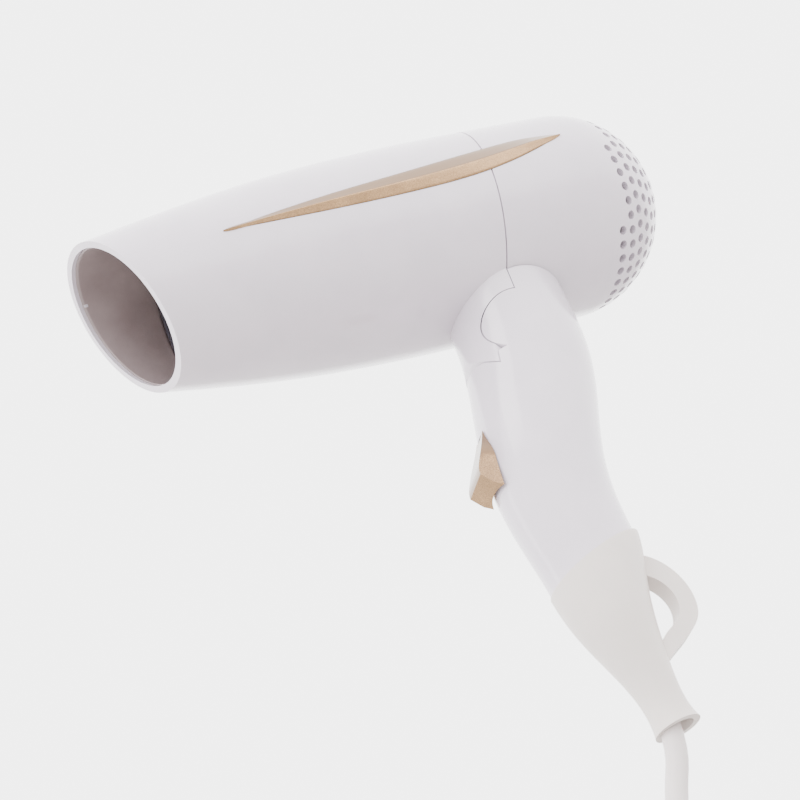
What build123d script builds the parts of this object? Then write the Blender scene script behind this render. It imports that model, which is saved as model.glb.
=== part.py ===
from build123d import *
from math import cos, pi, radians, sin, tan
import os

# Folding hair dryer, in millimetres.
# X runs along the barrel from the outlet (-X) to the inlet (+X), +Z is up.
# The origin is the middle of the hand grip, in the plane of symmetry.

os.makedirs("parts", exist_ok=True)

# ---------------------------------------------------------------- driving dimensions
AXIS_Z = 89.0            # height of the barrel axis over the grip
SKIN = 2.2               # wall of the housing shells
GAP = 0.35               # clearance between the barrel and the handle
R_DOME = 35.0            # radius of the rear dome and of the barrel beside it
DOME_X = 52.6            # centre of the rear dome
MOUTH_X = -105.2         # outlet plane, where it meets the barrel axis
MOUTH_SLANT = 19.7       # the upper lip stands further forward
SEAM_X, SEAM_SLANT = 17.5, 9.0        # joint of the front and rear shells
SEAM_GAP, SEAM_DEPTH = 0.5, 0.9       # shadow line where two shells meet
GRILLE_X, GRILLE_SLANT = 59.5, 10.0   # edge of the inlet grille

PIVOT_X, PIVOT_Z = 8.0, 39.5          # fold axis, along Y
DRUM_R = 17.0            # knuckle of the barrel inside the handle
DRUM_HALF = 13.2         # half width of the knuckle
EAR_R = 11.5             # round ears of the handle over the knuckle
EAR_SEAT = 9.0           # half width of the knuckle between the ears
BOSS_R = 5.0             # pivot bosses of the ears
FRONT_DROP = 7.5         # the handle's front wall ends this far under the fold axis
FOLD_LIMIT = 57.0        # degrees from open to folded

CORD_D = 6.4
BOOT_END_Z = -97.0
BOOT_END_X = -10.3

# Barrel skin: station along the axis and radius.
BARREL_STATIONS = [(-120.0, 22.7), (-66.0, 31.0), (-28.0, 34.2), (6.0, 35.1), (DOME_X, R_DOME)]

# Handle sections: height, front edge, rear edge, half width.
HANDLE_STATIONS = [
    (60.0, -5.0, 37.0, 18.6),
    (40.0, -8.0, 34.0, 18.4),
    (18.0, -15.3, 28.0, 18.0),
    (-6.0, -21.7, 16.8, 16.4),
    (-25.0, -22.8, 11.2, 14.8),
    (-50.0, -23.0, 7.6, 13.6),
]

# Boot sections below the handle: height, front edge, rear edge, half width.
BOOT_STATIONS = [
    (-30.0, -22.9, 10.2, 14.5),
    (-46.0, -23.0, 8.2, 13.8),
    (-62.0, -21.3, 1.8, 11.4),
    (-78.0, -17.6, -2.2, 7.7),
    (-92.0, -16.5, -4.0, 6.3),
    (BOOT_END_Z, -17.4, -3.2, 7.1),
]
BOOT_SEAM_X, BOOT_SEAM_Z = -7.2, -42.0     # middle of the seam between handle and boot
BOOT_SEAM_SLANT = 14.0                     # the rear of the seam is higher

BARREL_AXIS = Axis((0, 0, AXIS_Z), (1, 0, 0))
SIDE = Plane.XZ                                   # sketches drawn from the near side
AXIAL = Plane((0, 0, AXIS_Z), x_dir=(0, 1, 0), z_dir=(1, 0, 0))


def slanted(x, slant, z=AXIS_Z):
    """Plane across the barrel whose upper edge leans `slant` degrees to the rear."""
    return Plane((x, 0, z), x_dir=(0, 1, 0), z_dir=(cos(radians(slant)), 0, -sin(radians(slant))))


MOUTH_PLANE = slanted(MOUTH_X, -MOUTH_SLANT)
SEAM_PLANE = slanted(SEAM_X, SEAM_SLANT)
GRILLE_PLANE = slanted(GRILLE_X, GRILLE_SLANT)


def barrel_body(inset):
    """Whole barrel with its dome, drawn `inset` inside the outer skin."""
    points = [(x, AXIS_Z + r - inset) for x, r in BARREL_STATIONS]
    with BuildPart() as body:
        with BuildSketch(SIDE):
            with BuildLine():
                skin = Spline(points, tangents=[(1, 0.17), (1, 0)], tangent_scalars=[0.6, 0.6])
                dome = RadiusArc(skin @ 1, (DOME_X + R_DOME - inset, AXIS_Z), R_DOME - inset)
                Polyline(dome @ 1, (points[0][0], AXIS_Z), skin @ 0)
            make_face()
        revolve(axis=BARREL_AXIS)
    return body.part


def section_stack(stations, inset):
    """Loft through oval sections given as (height, front, rear, half width)."""
    with BuildPart() as stack:
        for height, front, rear, half_width in stations:
            with BuildSketch(Plane((0.5 * (front + rear), 0, height))):
                Ellipse(0.5 * (rear - front) - inset, half_width - inset)
        loft()
    return stack.part


def round_bar(start, direction, radius, length):
    """Plain cylinder from `start` along `direction`."""
    with BuildPart() as bar:
        with BuildSketch(Plane(start, z_dir=direction)):
            Circle(radius)
        extrude(amount=length)
    return bar.part


def tube(x0, x1, outer, inner):
    """Tube about the barrel axis from x0 to x1."""
    with BuildPart() as pipe:
        with BuildSketch(AXIAL.offset(x0)):
            Circle(outer)
            Circle(inner, mode=Mode.SUBTRACT)
        extrude(amount=x1 - x0)
    return pipe.part


def lead(points, radius, bend):
    """Insulated wire along straight runs with rounded corners."""
    with BuildPart() as wire:
        with BuildLine() as path:
            FilletPolyline(*points, radius=bend)
        with BuildSketch(Plane(path.line @ 0, z_dir=path.line % 0)):
            Circle(radius)
        sweep()
    return wire.part


def save(part, name):
    """Label a finished piece and write it."""
    part.label = name
    export_step(part, f"parts/{name}.step")


OUTER = barrel_body(0)
INNER = barrel_body(SKIN)
HANDLE_OUTER = section_stack(HANDLE_STATIONS, 0)
HANDLE_INNER = section_stack(HANDLE_STATIONS, SKIN)
BOOT_OUTER = section_stack(BOOT_STATIONS, 0)
BOOT_PLANE = Plane((BOOT_SEAM_X, 0, BOOT_SEAM_Z), x_dir=(0, 1, 0),
                   z_dir=(-sin(radians(BOOT_SEAM_SLANT)), 0, cos(radians(BOOT_SEAM_SLANT))))
PIVOT_SIDE = Plane((PIVOT_X, 0, PIVOT_Z), x_dir=(1, 0, 0), z_dir=(0, -1, 0))


def knuckle_body(radius, half_width, front, rear):
    """Drum about the fold axis with the block that joins it to the barrel."""
    with BuildPart() as body:
        with BuildSketch(PIVOT_SIDE):
            Circle(radius)
            with BuildLine():
                Polyline((front, 0), (front, 21.0), (rear, 21.0), (rear, 0), close=True)
            make_face()
        extrude(amount=half_width, both=True)
    return body.part


KNUCKLE_FRONT = -16.5    # its block reaches the front of the handle
KNUCKLE_REAR = 12.5
KNUCKLE_ROOM = knuckle_body(DRUM_R + 0.4, DRUM_HALF + GAP, KNUCKLE_FRONT - 0.4, KNUCKLE_REAR + 0.4)


def seam_side(height):
    """Distance of the barrel's seam behind the fold axis, `height` above that axis."""
    return SEAM_X - PIVOT_X - (AXIS_Z - PIVOT_Z - height) * tan(radians(SEAM_SLANT))


def ear_discs(seat, radius):
    """Pair of discs about the fold axis, from `seat` either side of the middle outwards."""
    with BuildPart() as discs:
        for way in (-1, 1):
            add(round_bar((PIVOT_X, way * seat, PIVOT_Z), (0, way, 0), radius, 30))
    return discs.part


# Hollow of the knuckle, for the leads.
with BuildPart() as knuckle_cavity:
    add(knuckle_body(DRUM_R - 2.6, EAR_SEAT - 2.4, KNUCKLE_FRONT + 5.6, KNUCKLE_REAR - 2.6))
    add(HANDLE_INNER, mode=Mode.INTERSECT)
KNUCKLE_CAVITY = knuckle_cavity.part

# Knuckle, shaped to the outside of the handle, with cheeks flush with the ears above the fold axis.
# The cheeks end on the line that meets the handle's front wall when the handle is folded.
with BuildPart() as knuckle:
    with BuildSketch(PIVOT_SIDE):
        with BuildLine():
            foot = -FRONT_DROP + GAP
            corner = foot / sin(radians(FOLD_LIMIT))
            high = (corner + 30) * tan(radians(FOLD_LIMIT))
            Polyline((seam_side(0) - GAP, 0), (corner, 0), (-30, high), (seam_side(high) - GAP, high),
                     close=True)
        make_face()
    extrude(amount=30, both=True)
    add(knuckle_body(DRUM_R, DRUM_HALF, KNUCKLE_FRONT, KNUCKLE_REAR))
    add(HANDLE_OUTER, mode=Mode.INTERSECT)
    add(ear_discs(EAR_SEAT, EAR_R + GAP), mode=Mode.SUBTRACT)
KNUCKLE = knuckle.part


def seam_ring(plane, depth):
    """Thin ring round the barrel at a slanted joint, from outside the skin to `depth` inside it."""
    with BuildPart() as ring:
        with BuildSketch(plane.offset(-SEAM_GAP / 2)):
            Circle(60)
        extrude(amount=SEAM_GAP)
        add(barrel_body(depth), mode=Mode.SUBTRACT)
    return ring.part

# Trim strip outline on the side of the barrel: upper and lower edges from tip to tip.
TRIM_TIPS = ((-75.0, 88.0), (48.4, 95.4))
TRIM_TOP = [(-45.0, 90.5), (-13.0, 92.7), (20.8, 96.2), (38.0, 97.0)]
TRIM_LOW = [(38.0, 91.4), (19.2, 86.6), (-13.0, 84.2), (-45.0, 85.1)]
TRIM_STAND = 0.7         # height of the strip over the skin
TRIM_BED = 0.8           # depth of its bed in the skin
TRIM_PLAY = 0.12         # play of the strip in its bed


def trim_outline(play, depth):
    """Spindle-shaped prism from the middle plane out to one side, `play` narrower than the bed."""
    nose, tail = TRIM_TIPS
    with BuildPart() as prism:
        with BuildSketch(SIDE):
            with BuildLine():
                upper = Spline((nose[0] + 4 * play, nose[1]), *[(x, z - play) for x, z in TRIM_TOP],
                               (tail[0] - 2 * play, tail[1]))
                Spline(upper @ 1, *[(x, z + play) for x, z in TRIM_LOW], upper @ 0)
            make_face()
        extrude(amount=depth)
    return prism.part


BED_FLOOR = barrel_body(TRIM_BED)
STRIP_TOP = barrel_body(-TRIM_STAND)
TRIM_BEDS = [trim_outline(0, depth) - BED_FLOOR for depth in (50, -50)]

# ---------------------------------------------------------------- barrel housing
# Front shell: outlet end, with the knuckle that the handle hinges on.
with BuildPart() as front_barrel:
    add(OUTER)
    split(bisect_by=MOUTH_PLANE, keep=Keep.TOP)
    split(bisect_by=SEAM_PLANE, keep=Keep.BOTTOM)
    add(seam_ring(SEAM_PLANE, SEAM_DEPTH), mode=Mode.SUBTRACT)
    add(KNUCKLE)
    add(INNER, mode=Mode.SUBTRACT)
    add(KNUCKLE_CAVITY, mode=Mode.SUBTRACT)
    add(TRIM_BEDS, mode=Mode.SUBTRACT)
    # bearing holes for the pivot bosses
    with BuildSketch(PIVOT_SIDE):
        Circle(BOSS_R + 0.06)
    extrude(amount=40, both=True, mode=Mode.SUBTRACT)
    # slot for the leads, in the lower rear of the drum
    with BuildSketch(Plane((PIVOT_X + 5, 0, PIVOT_Z - 24))):
        Rectangle(7, 12)
    extrude(amount=16, mode=Mode.SUBTRACT)
save(front_barrel.part, "front_barrel")

# Rear shell: from the seam to the grille, fitted round the root of the knuckle.
with BuildPart() as rear_barrel:
    add(OUTER)
    split(bisect_by=SEAM_PLANE, keep=Keep.TOP)
    split(bisect_by=GRILLE_PLANE, keep=Keep.BOTTOM)
    add(INNER, mode=Mode.SUBTRACT)
    add(seam_ring(SEAM_PLANE, SEAM_DEPTH), mode=Mode.SUBTRACT)
    add(KNUCKLE, mode=Mode.SUBTRACT)
    add(TRIM_BEDS, mode=Mode.SUBTRACT)
save(rear_barrel.part, "rear_barrel")

# Inlet grille: a dome perforated with radial holes in staggered rings.
HOLE_D = 3.0
HOLE_PITCH = 4.9
HOLE_EDGE = 3.0          # solid margin along the edge of the grille
hole_spots = []
for row in range(15):
    polar = row * HOLE_PITCH * 0.92 / R_DOME
    count = max(1, round(2 * pi * R_DOME * sin(polar) / HOLE_PITCH))
    for k in range(count):
        turn = 2 * pi * (k + 0.5 * (row % 2)) / count
        outward = Vector(cos(polar), sin(polar) * cos(turn), sin(polar) * sin(turn))
        spot = Vector(DOME_X, 0, AXIS_Z) + outward * R_DOME
        if (spot - GRILLE_PLANE.origin).dot(GRILLE_PLANE.z_dir) > HOLE_EDGE:
            hole_spots.append(Plane(spot, z_dir=outward))

with BuildPart() as inlet_grille:
    add(OUTER)
    split(bisect_by=GRILLE_PLANE, keep=Keep.TOP)
    add(INNER, mode=Mode.SUBTRACT)
    with Locations(*hole_spots):
        Cylinder(HOLE_D / 2, 7, mode=Mode.SUBTRACT)
save(inlet_grille.part, "inlet_grille")

# Gold trim strips, one in each side of the barrel, seated in their beds.
for side, depth in (("left", 50), ("right", -50)):
    with BuildPart() as trim_strip:
        add(trim_outline(TRIM_PLAY, depth))
        add(STRIP_TOP, mode=Mode.INTERSECT)
        add(BED_FLOOR, mode=Mode.SUBTRACT)
    save(trim_strip.part, f"trim_strip_{side}")

# ---------------------------------------------------------------- outlet and heater
GUARD_X = -84.0
SHIELD_FRONT, SHIELD_REAR = -78.0, 2.0
SHIELD_R = 25.0
MICA = 0.8
COIL_R = 20.4

with BuildPart() as outlet_guard:
    with BuildSketch(AXIAL.offset(GUARD_X)):
        Circle(25.9)
        Circle(24.4, mode=Mode.SUBTRACT)
        Circle(13.0)
        Circle(11.8, mode=Mode.SUBTRACT)
        with PolarLocations(0, 6):
            with Locations((12.4, 0)):
                Rectangle(24.9, 1.3)
    extrude(amount=SHIELD_FRONT - GUARD_X)
save(outlet_guard.part, "outlet_guard")

with BuildPart() as heat_shield:
    add(tube(SHIELD_FRONT, SHIELD_REAR, SHIELD_R, SHIELD_R - 0.6))
save(heat_shield.part, "heat_shield")

# Two crossed mica cards that carry the heating wire.
with BuildPart() as heater_frame:
    with BuildSketch(AXIAL.offset(-72)):
        Rectangle(2 * COIL_R - 2.2, MICA)
        Rectangle(MICA, 2 * COIL_R - 2.2)
    extrude(amount=66)
save(heater_frame.part, "heater_frame")

with BuildPart() as heating_coils:
    for k in range(9):
        with Locations(AXIAL.offset(-68 + 7 * k)):
            Torus(COIL_R, 0.9)
save(heating_coils.part, "heating_coils")

with BuildPart() as thermostat:
    with BuildSketch(SIDE.offset(-MICA / 2)):
        with Locations((-13, AXIS_Z + 10)):
            RectangleRounded(14, 8, 1)
    extrude(amount=-4.5)
save(thermostat.part, "thermostat")

with BuildPart() as thermal_fuse:
    add(round_bar((-20, -MICA / 2 - 1.8, AXIS_Z - 9), (1, 0, 0), 1.7, 11))
save(thermal_fuse.part, "thermal_fuse")

# ---------------------------------------------------------------- fan
DUCT_FRONT, DUCT_REAR = 4.0, 58.0
DUCT_R = 30.8
MOTOR_R = 13.4
FAN_X = 43.0

# Duct with the motor cup held by stator vanes.
with BuildPart() as fan_duct:
    add(tube(DUCT_FRONT, DUCT_REAR, DUCT_R, DUCT_R - 1.4))
    add(tube(DUCT_FRONT, DUCT_FRONT + 1.6, DUCT_R, SHIELD_R - 1))
    add(tube(8, 38, MOTOR_R + 1.3, MOTOR_R + 0.1))
    add(tube(8, 9.6, MOTOR_R + 1.3, 4))
    for k in range(7):
        turn = radians(360 * k / 7 + 20)
        out = Vector(0, cos(turn), sin(turn))
        root = Vector(22, 0, AXIS_Z) + out * (MOTOR_R + 0.9)
        with BuildSketch(Plane(root, x_dir=(1, 0, 0), z_dir=out)):
            Rectangle(24, 1.4, rotation=12)
        extrude(amount=DUCT_R - MOTOR_R - 1.6)
save(fan_duct.part, "fan_duct")

with BuildPart() as dc_motor:
    add(round_bar((9.7, 0, AXIS_Z), (1, 0, 0), MOTOR_R, 28))
    add(round_bar((37.7, 0, AXIS_Z), (1, 0, 0), 4.5, 2.5))
    add(round_bar((28, 0, AXIS_Z), (1, 0, 0), 1.2, 20), mode=Mode.SUBTRACT)
save(dc_motor.part, "dc_motor")

with BuildPart() as motor_shaft:
    add(round_bar((29, 0, AXIS_Z), (1, 0, 0), 1.15, 26))
save(motor_shaft.part, "motor_shaft")

with BuildPart() as fan_impeller:
    with BuildSketch(AXIAL.offset(FAN_X)):
        Circle(12)
    extrude(amount=13)
    fillet(fan_impeller.edges().filter_by(GeomType.CIRCLE).sort_by(Axis.X)[-1], 4)
    for k in range(9):
        turn = radians(40 * k)
        out = Vector(0, cos(turn), sin(turn))
        root = Vector(FAN_X + 6.5, 0, AXIS_Z) + out * 11
        with BuildSketch(Plane(root, x_dir=(1, 0, 0), z_dir=out)):
            Rectangle(14, 1.4, rotation=-38)
        extrude(amount=17.6)
    add(round_bar((FAN_X - 1, 0, AXIS_Z), (1, 0, 0), 1.15, 13), mode=Mode.SUBTRACT)
save(fan_impeller.part, "fan_impeller")

# Rectifier board on the front of the motor cup, with its four diodes.
with BuildPart() as rectifier_board:
    with BuildSketch(AXIAL.offset(6.3)):
        Circle(11)
    extrude(amount=1.6)
    for y in (-6, -2, 2, 6):
        add(round_bar((5.2, y, AXIS_Z - 3), (0, 0, 1), 1.3, 6))
save(rectifier_board.part, "rectifier_board")

with BuildPart() as lint_screen:
    with BuildSketch(AXIAL.offset(DUCT_REAR)):
        Circle(30.5)
        Circle(28.3, mode=Mode.SUBTRACT)
        with GridLocations(0, 5.2, 1, 11):
            Rectangle(50, 0.7)
        with GridLocations(5.2, 0, 11, 1):
            Rectangle(0.7, 50)
        Circle(30.5, mode=Mode.INTERSECT)
    extrude(amount=0.8)
save(lint_screen.part, "lint_screen")

# ---------------------------------------------------------------- handle
SLIDE_TILT = radians(14.9)     # lean of the front of the handle at the switch
SLIDE_UP = Vector(sin(SLIDE_TILT), 0, cos(SLIDE_TILT))
SLIDE_OUT = Vector(-cos(SLIDE_TILT), 0, sin(SLIDE_TILT))
SLIDE_ORIGIN = Vector(-19.0, 0, 4.0)
SLIDE_FACE = Plane(SLIDE_ORIGIN, x_dir=SLIDE_UP, z_dir=SLIDE_OUT)
SLIDE_SIDE = Plane(SLIDE_ORIGIN, x_dir=SLIDE_UP, z_dir=(0, -1, 0))
TRAVEL = 8.0                   # of the switch, off - low - high
STEM_HALF = 2.6
SCREW_SPOTS = [(19.0, 14.0), (-9.0, -30.0)]
DETENT_TOP = PIVOT_Z - DRUM_R - 0.5

# Screw posts and the rib round the detent, inside the handle.
with BuildPart() as handle_posts:
    with BuildSketch(SIDE):
        for x, z in SCREW_SPOTS:
            with Locations((x, z)):
                Circle(3.4)
        with Locations((PIVOT_X, DETENT_TOP - 9)):
            Rectangle(7.6, 18)
    extrude(amount=13, both=True)
    add(section_stack(HANDLE_STATIONS, 0.6), mode=Mode.INTERSECT)
HANDLE_POSTS = handle_posts.part

with BuildPart() as ears:
    add(ear_discs(EAR_SEAT + GAP, EAR_R))
    add(HANDLE_OUTER, mode=Mode.INTERSECT)
EARS = ears.part

with BuildPart() as handle_body:
    add(HANDLE_OUTER)
    split(bisect_by=BOOT_PLANE, keep=Keep.TOP)
    add(barrel_body(-0.5), mode=Mode.SUBTRACT)
    add(split(HANDLE_INNER, bisect_by=Plane.XY.offset(PIVOT_Z - 18), keep=Keep.BOTTOM,
              mode=Mode.PRIVATE), mode=Mode.SUBTRACT)
    add(HANDLE_POSTS)
    add(KNUCKLE_ROOM, mode=Mode.SUBTRACT)
    # open the head above the front wall
    with BuildSketch(PIVOT_SIDE):
        with BuildLine():
            Polyline((seam_side(-FRONT_DROP), -FRONT_DROP), (-15.9, -FRONT_DROP), (-30, 4.8), (-30, 40),
                     (seam_side(40), 40), close=True)
        make_face()
    extrude(amount=30, both=True, mode=Mode.SUBTRACT)
    # round ears, and the pivot bosses on their inner faces
    add(EARS)
    for way in (-1, 1):
        add(round_bar((PIVOT_X, way * (EAR_SEAT - 2.0), PIVOT_Z), (0, way, 0), BOSS_R, 3.5))
    # bores for the detent and the screws
    add(round_bar((PIVOT_X, 0, DETENT_TOP + 2), (0, 0, -1), 2.1, 18.5), mode=Mode.SUBTRACT)
    for x, z in SCREW_SPOTS:
        add(round_bar((x, -9, z), (0, 1, 0), 1.55, 40), mode=Mode.SUBTRACT)
        add(round_bar((x, 10, z), (0, 1, 0), 3.0, 20), mode=Mode.SUBTRACT)
    # slot for the stem of the switch
    with BuildSketch(SLIDE_FACE):
        with Locations((TRAVEL / 2 - 4, 0)):
            Rectangle(TRAVEL + 7, 2 * STEM_HALF + 0.8)
    extrude(amount=14, both=True, mode=Mode.SUBTRACT)

for side, half in (("left", Keep.TOP), ("right", Keep.BOTTOM)):
    with BuildPart() as handle_shell:
        add(handle_body.part)
        split(bisect_by=Plane.XZ, keep=half)
    save(handle_shell.part, f"handle_shell_{side}")

# Screws driven from the far side, their heads sunk in the right shell.
with BuildPart() as handle_screws:
    for x, z in SCREW_SPOTS:
        add(round_bar((x, -8, z), (0, 1, 0), 1.5, 18))
        add(round_bar((x, 10, z), (0, 1, 0), 2.8, 2.2))
save(handle_screws.part, "handle_screws")

# Ball-ended plunger and its spring, which hold the handle open or folded.
with BuildPart() as detent_plunger:
    add(round_bar((PIVOT_X, 0, DETENT_TOP), (0, 0, -1), 2.0, 6))
save(detent_plunger.part, "detent_plunger")

with BuildPart() as detent_spring:
    for k in range(4):
        with Locations((PIVOT_X, 0, DETENT_TOP - 6.5 - 2.4 * k)):
            Torus(1.5, 0.4)
save(detent_spring.part, "detent_spring")

# ---------------------------------------------------------------- switch
SWITCH_HALF = 6.6
with BuildPart() as switch_slider:
    with BuildSketch(SLIDE_SIDE):
        with BuildLine():
            ramp = Spline((13.2, -0.6), (2.5, 2.1), (-5.8, 5.1), (-10.6, 5.8),
                          tangents=[(-1, 0.1), (-1, -0.1)])
            Polyline(ramp @ 1, (-13.6, 2.2), (-14.8, -1.4), (-14.8, -5), (13.2, -5), ramp @ 0)
        make_face()
    extrude(amount=SWITCH_HALF, both=True)
    with BuildSketch(SLIDE_FACE.offset(-6)):
        with BuildLine():
            edge = Spline((13.2, 0.5), (6.5, 4.0), (-3.0, SWITCH_HALF),
                          tangents=[(-0.5, 1), (-1, 0.1)])
            base = Line(edge @ 1, (-14.8, SWITCH_HALF))
            Line(base @ 1, (-14.8, 0))
            Line((-14.8, 0), (13.2, 0))
            Line((13.2, 0), edge @ 0)
        make_face()
        mirror(about=Plane.XZ)
    extrude(amount=30, mode=Mode.INTERSECT)
    for lift in (0, TRAVEL / 2, TRAVEL):
        add(section_stack(HANDLE_STATIONS, -0.35).moved(Location(-SLIDE_UP * lift)), mode=Mode.SUBTRACT)
    # stem into the switch body
    with BuildSketch(SLIDE_FACE.offset(-8.5)):
        with Locations((-4, 0)):
            Rectangle(6, 2 * STEM_HALF)
    extrude(amount=10)
save(switch_slider.part, "switch_slider")

with BuildPart() as switch_body:
    with BuildSketch(SLIDE_FACE.offset(-15)):
        with Locations((0, 0)):
            RectangleRounded(27, 12.4, 1)
    extrude(amount=10.4)
    with BuildSketch(SLIDE_FACE.offset(-9)):
        with Locations((TRAVEL / 2 - 4, 0)):
            Rectangle(TRAVEL + 7, 2 * STEM_HALF + 0.8)
    extrude(amount=8, mode=Mode.SUBTRACT)
save(switch_body.part, "switch_body")

with BuildPart() as switch_terminals:
    for u in (-9, 0, 9):
        with BuildSketch(SLIDE_FACE.offset(-15)):
            with Locations((u, 0)):
                Rectangle(0.8, 4.8)
        extrude(amount=-4)
save(switch_terminals.part, "switch_terminals")

# ---------------------------------------------------------------- boot, loop and clamp
BORE_R = CORD_D / 2 + 0.1
MOUTH_R, FLARE = 5.0, 17.0     # mouth of the bore and the length over which it widens
LOOP_OUTER = [(5.0, -43.0), (13.6, -50.5), (15.9, -59.0), (13.6, -68.0), (4.0, -74.6), (-3.5, -79.0)]
LOOP_INNER = [(-2.5, -73.5), (1.6, -70.0), (8.2, -66.0), (10.2, -60.5), (8.6, -54.5), (4.2, -50.5)]

with BuildPart() as cord_boot:
    # flat hanging loop on the rear
    with BuildSketch(SIDE):
        with BuildLine():
            outer_edge = Spline(*LOOP_OUTER)
            tail = Line(outer_edge @ 1, (-8, -79))
            inner_side = Line(tail @ 1, (-8, -45))
            Line(inner_side @ 1, outer_edge @ 0)
        make_face()
        with BuildLine():
            inner_edge = Spline(LOOP_INNER[0], *LOOP_INNER[1:])
            Line(inner_edge @ 1, inner_edge @ 0)
        make_face(mode=Mode.SUBTRACT)
    extrude(amount=3.2, both=True)
    add(BOOT_OUTER)
    split(bisect_by=BOOT_PLANE, keep=Keep.BOTTOM)
    # bore for the cord, flared to its mouth, under the hollow upper part
    with BuildSketch(Plane((BOOT_END_X, 0, BOOT_END_Z))):
        Circle(BORE_R)
    extrude(amount=60, mode=Mode.SUBTRACT)
    with Locations((BOOT_END_X, 0, BOOT_END_Z + FLARE / 2)):
        Cone(MOUTH_R, BORE_R, FLARE, mode=Mode.SUBTRACT)
    add(split(section_stack(BOOT_STATIONS, 2.8), bisect_by=Plane.XY.offset(-64), keep=Keep.TOP,
              mode=Mode.PRIVATE), mode=Mode.SUBTRACT)
save(cord_boot.part, "cord_boot")

# Saddle that grips the cord, screwed across it inside the boot.
CLAMP_Z = -52.0
with BuildPart() as cord_clamp:
    with BuildSketch(Plane.XY.offset(CLAMP_Z)):
        with Locations((BOOT_END_X, 0)):
            RectangleRounded(9, 18, 1.5)
            Circle(CORD_D / 2 + 0.05, mode=Mode.SUBTRACT)
    extrude(amount=6)
    for y in (-6.2, 6.2):
        add(round_bar((BOOT_END_X - 10, y, CLAMP_Z + 3), (1, 0, 0), 1.3, 20), mode=Mode.SUBTRACT)
save(cord_clamp.part, "cord_clamp")

with BuildPart() as clamp_screws:
    for y in (-6.2, 6.2):
        add(round_bar((BOOT_END_X - 4.5, y, CLAMP_Z + 3), (1, 0, 0), 1.25, 9))
        add(round_bar((BOOT_END_X + 4.5, y, CLAMP_Z + 3), (1, 0, 0), 2.3, 1.6))
save(clamp_screws.part, "clamp_screws")

# ---------------------------------------------------------------- cord end and leads
CORD_TOP, CORD_JOIN = -43.0, -75.0     # stripped end in the handle; join with the free cord

with BuildPart() as cord_end:
    add(round_bar((BOOT_END_X, 0, CORD_TOP - 0.2), (0, 0, -1), CORD_D / 2, CORD_TOP - 0.2 - CORD_JOIN))
save(cord_end.part, "cord_end")

with BuildPart() as handle_leads:
    add(lead([(-8.8, -1.6, CORD_TOP), (-1.6, -2.2, -35.0), (-0.6, -2.0, -22.0), (-3.4, -1.2, -11.0)], 1.0, 4))
    add(lead([(-8.8, 1.6, CORD_TOP), (-2.6, 4.5, -33.0), (1.5, 7.0, -10.0), (14.0, 7.5, 2.0), (14.0, 7.0, 20.0)],
             1.0, 4))
save(handle_leads.part, "handle_leads")

with BuildPart() as barrel_leads:
    add(lead([(10.5, 3.0, 27.5), (11.0, 3.0, 40.0), (6.0, 4.0, 52.0), (-1.0, 5.0, 58.6), (-14.0, 8.0, 61.2)],
             1.0, 4))
    add(lead([(10.5, -3.0, 27.5), (11.0, -3.0, 40.0), (6.0, -4.0, 52.0), (-1.0, -5.0, 58.6),
              (-14.0, -8.0, 61.2)], 1.0, 4))
save(barrel_leads.part, "barrel_leads")

# ---------------------------------------------------------------- cord, coil and plug
CORD_ROUTE = [
    (BOOT_END_X, 0, CORD_JOIN),
    (BOOT_END_X, 0, -98.0),
    (-24.6, 0.2, -118.0),
    (-36.2, 1.6, -150.0),
    (-41.4, 1.0, -185.5),
    (-42.2, 0, -214.4),
]
COIL_MAJOR = 36.0        # middle of the turns
TURN_OFFSET = 8.5        # of each turn from the middle of the bundle
COIL_MINOR = TURN_OFFSET + CORD_D / 2 + 0.1
# the cord runs down into the outermost turn, 12 mm above the middle of the coil
COIL_CENTRE = Vector(-42.2 + COIL_MAJOR + TURN_OFFSET, 0, -226.4)
TAIL_X = COIL_CENTRE.X - COIL_MAJOR - TURN_OFFSET * cos(pi / 4)
TAIL_Y = -9.0
TAIL_TOP, PLUG_TOP = COIL_CENTRE.Z - 10, COIL_CENTRE.Z - 40


def bend_radii(route):
    """Largest arc at each corner: 0.45 of the shorter run over the tangent of half the turn."""
    radii = []
    for a, b, c in zip(route, route[1:], route[2:]):
        before, after = Vector(*b) - Vector(*a), Vector(*c) - Vector(*b)
        half_turn = radians(before.get_angle(after)) / 2
        radii.append(0.45 * min(before.length, after.length) / tan(half_turn))
    return radii


with BuildPart() as cord:
    with BuildLine() as cord_path:
        FilletPolyline(*CORD_ROUTE, radius=bend_radii(CORD_ROUTE))
    with BuildSketch(Plane(CORD_ROUTE[0], z_dir=(0, 0, -1))):
        Circle(CORD_D / 2)
    sweep()
print("cord radii", [round(r, 1) for r in bend_radii(CORD_ROUTE)])
print("cord volume / section x length",
      cord.part.volume / (pi * CORD_D**2 / 4 * cord_path.wire().length), "length", cord_path.wire().length)
save(cord.part, "cord")

with BuildPart() as cord_coil:
    with Locations(Plane(COIL_CENTRE, z_dir=(0, -1, 0))):
        Torus(COIL_MAJOR, COIL_MINOR)
save(cord_coil.part, "cord_coil")

# Strap round the bundle, on the side away from the plug.
with BuildPart() as cord_tie:
    with BuildSketch(Plane(COIL_CENTRE + Vector(COIL_MAJOR, 0, -6), z_dir=(0, 0, 1))):
        Circle(COIL_MINOR + 1.3)
        Circle(COIL_MINOR + 0.4, mode=Mode.SUBTRACT)
    extrude(amount=12)
    add(cord_coil.part, mode=Mode.SUBTRACT)
save(cord_tie.part, "cord_tie")

with BuildPart() as cord_tail:
    add(round_bar((TAIL_X, TAIL_Y, TAIL_TOP), (0, 0, -1), CORD_D / 2, TAIL_TOP - PLUG_TOP))
save(cord_tail.part, "cord_tail")

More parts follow.
